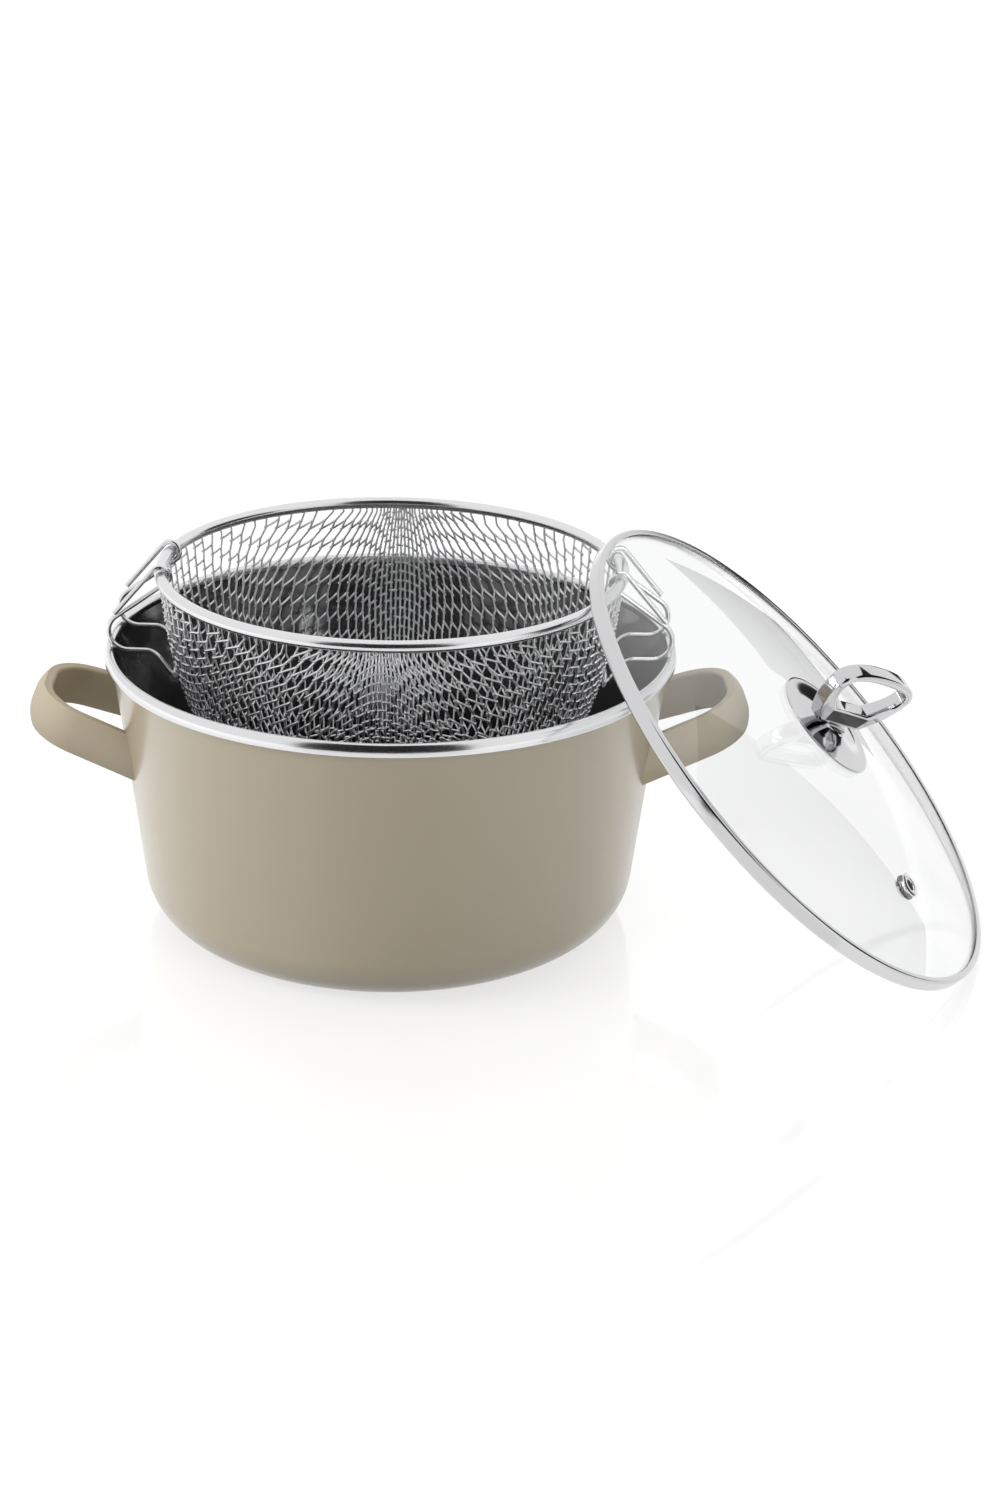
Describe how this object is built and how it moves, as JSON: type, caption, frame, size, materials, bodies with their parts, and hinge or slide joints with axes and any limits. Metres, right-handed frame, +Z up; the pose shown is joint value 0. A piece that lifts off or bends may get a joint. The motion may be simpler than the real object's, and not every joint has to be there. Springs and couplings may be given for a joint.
{
  "type": "deep frying pot with basket and lid",
  "caption": "Enamelled steel deep-frying pot with two strap handles, a wire frying basket set up on its rim, and a domed glass lid with a loop knob leaning at its side.",
  "frame": {"origin": "on the floor at the pot's axis, at the middle of the pot's flat base", "axes": "+Z up along the pot's axis, X through the two handles with the lid leaning on the +X side, -Y towards the viewer of the picture"},
  "size_m": [0.4469, 0.2863, 0.1834],
  "materials": {
    "enamel": "glossy vitreous enamel, clay beige outside and black inside",
    "band_steel": "polished stainless steel strip",
    "wire_steel": "bright plated steel wire",
    "knob_steel": "mirror-polished steel",
    "lid_glass": "clear tempered glass",
    "silicone": "matt black silicone"
  },
  "bodies": {
    "pot": {"pot_body": "enamel", "rim_band": "band_steel", "handle_left": "enamel", "handle_right": "enamel"},
    "basket": {"basket_rim": "wire_steel", "basket_wall": "wire_steel", "basket_floor": "wire_steel", "basket_centre_ring": "wire_steel", "basket_ear_left": "wire_steel", "basket_ear_right": "wire_steel"},
    "lid": {"lid_glass": "lid_glass", "lid_band": "band_steel", "knob_base": "knob_steel", "knob_loop": "knob_steel", "knob_screw": "knob_steel", "knob_washer_outer": "silicone", "knob_washer_inner": "silicone", "vent_eyelet": "knob_steel", "vent_washer": "silicone"}
  },
  "joints": [
    {"name": "basket_lift", "type": "slide", "parent": "pot", "child": "basket", "axis": [0, 0, 1], "range_m": [0, 0.15]},
    {"name": "lid_off", "type": "slide", "parent": "basket", "child": "lid", "axis": [0.68, -0.1555, 0.7165], "range_m": [0, 0.15]}
  ]
}
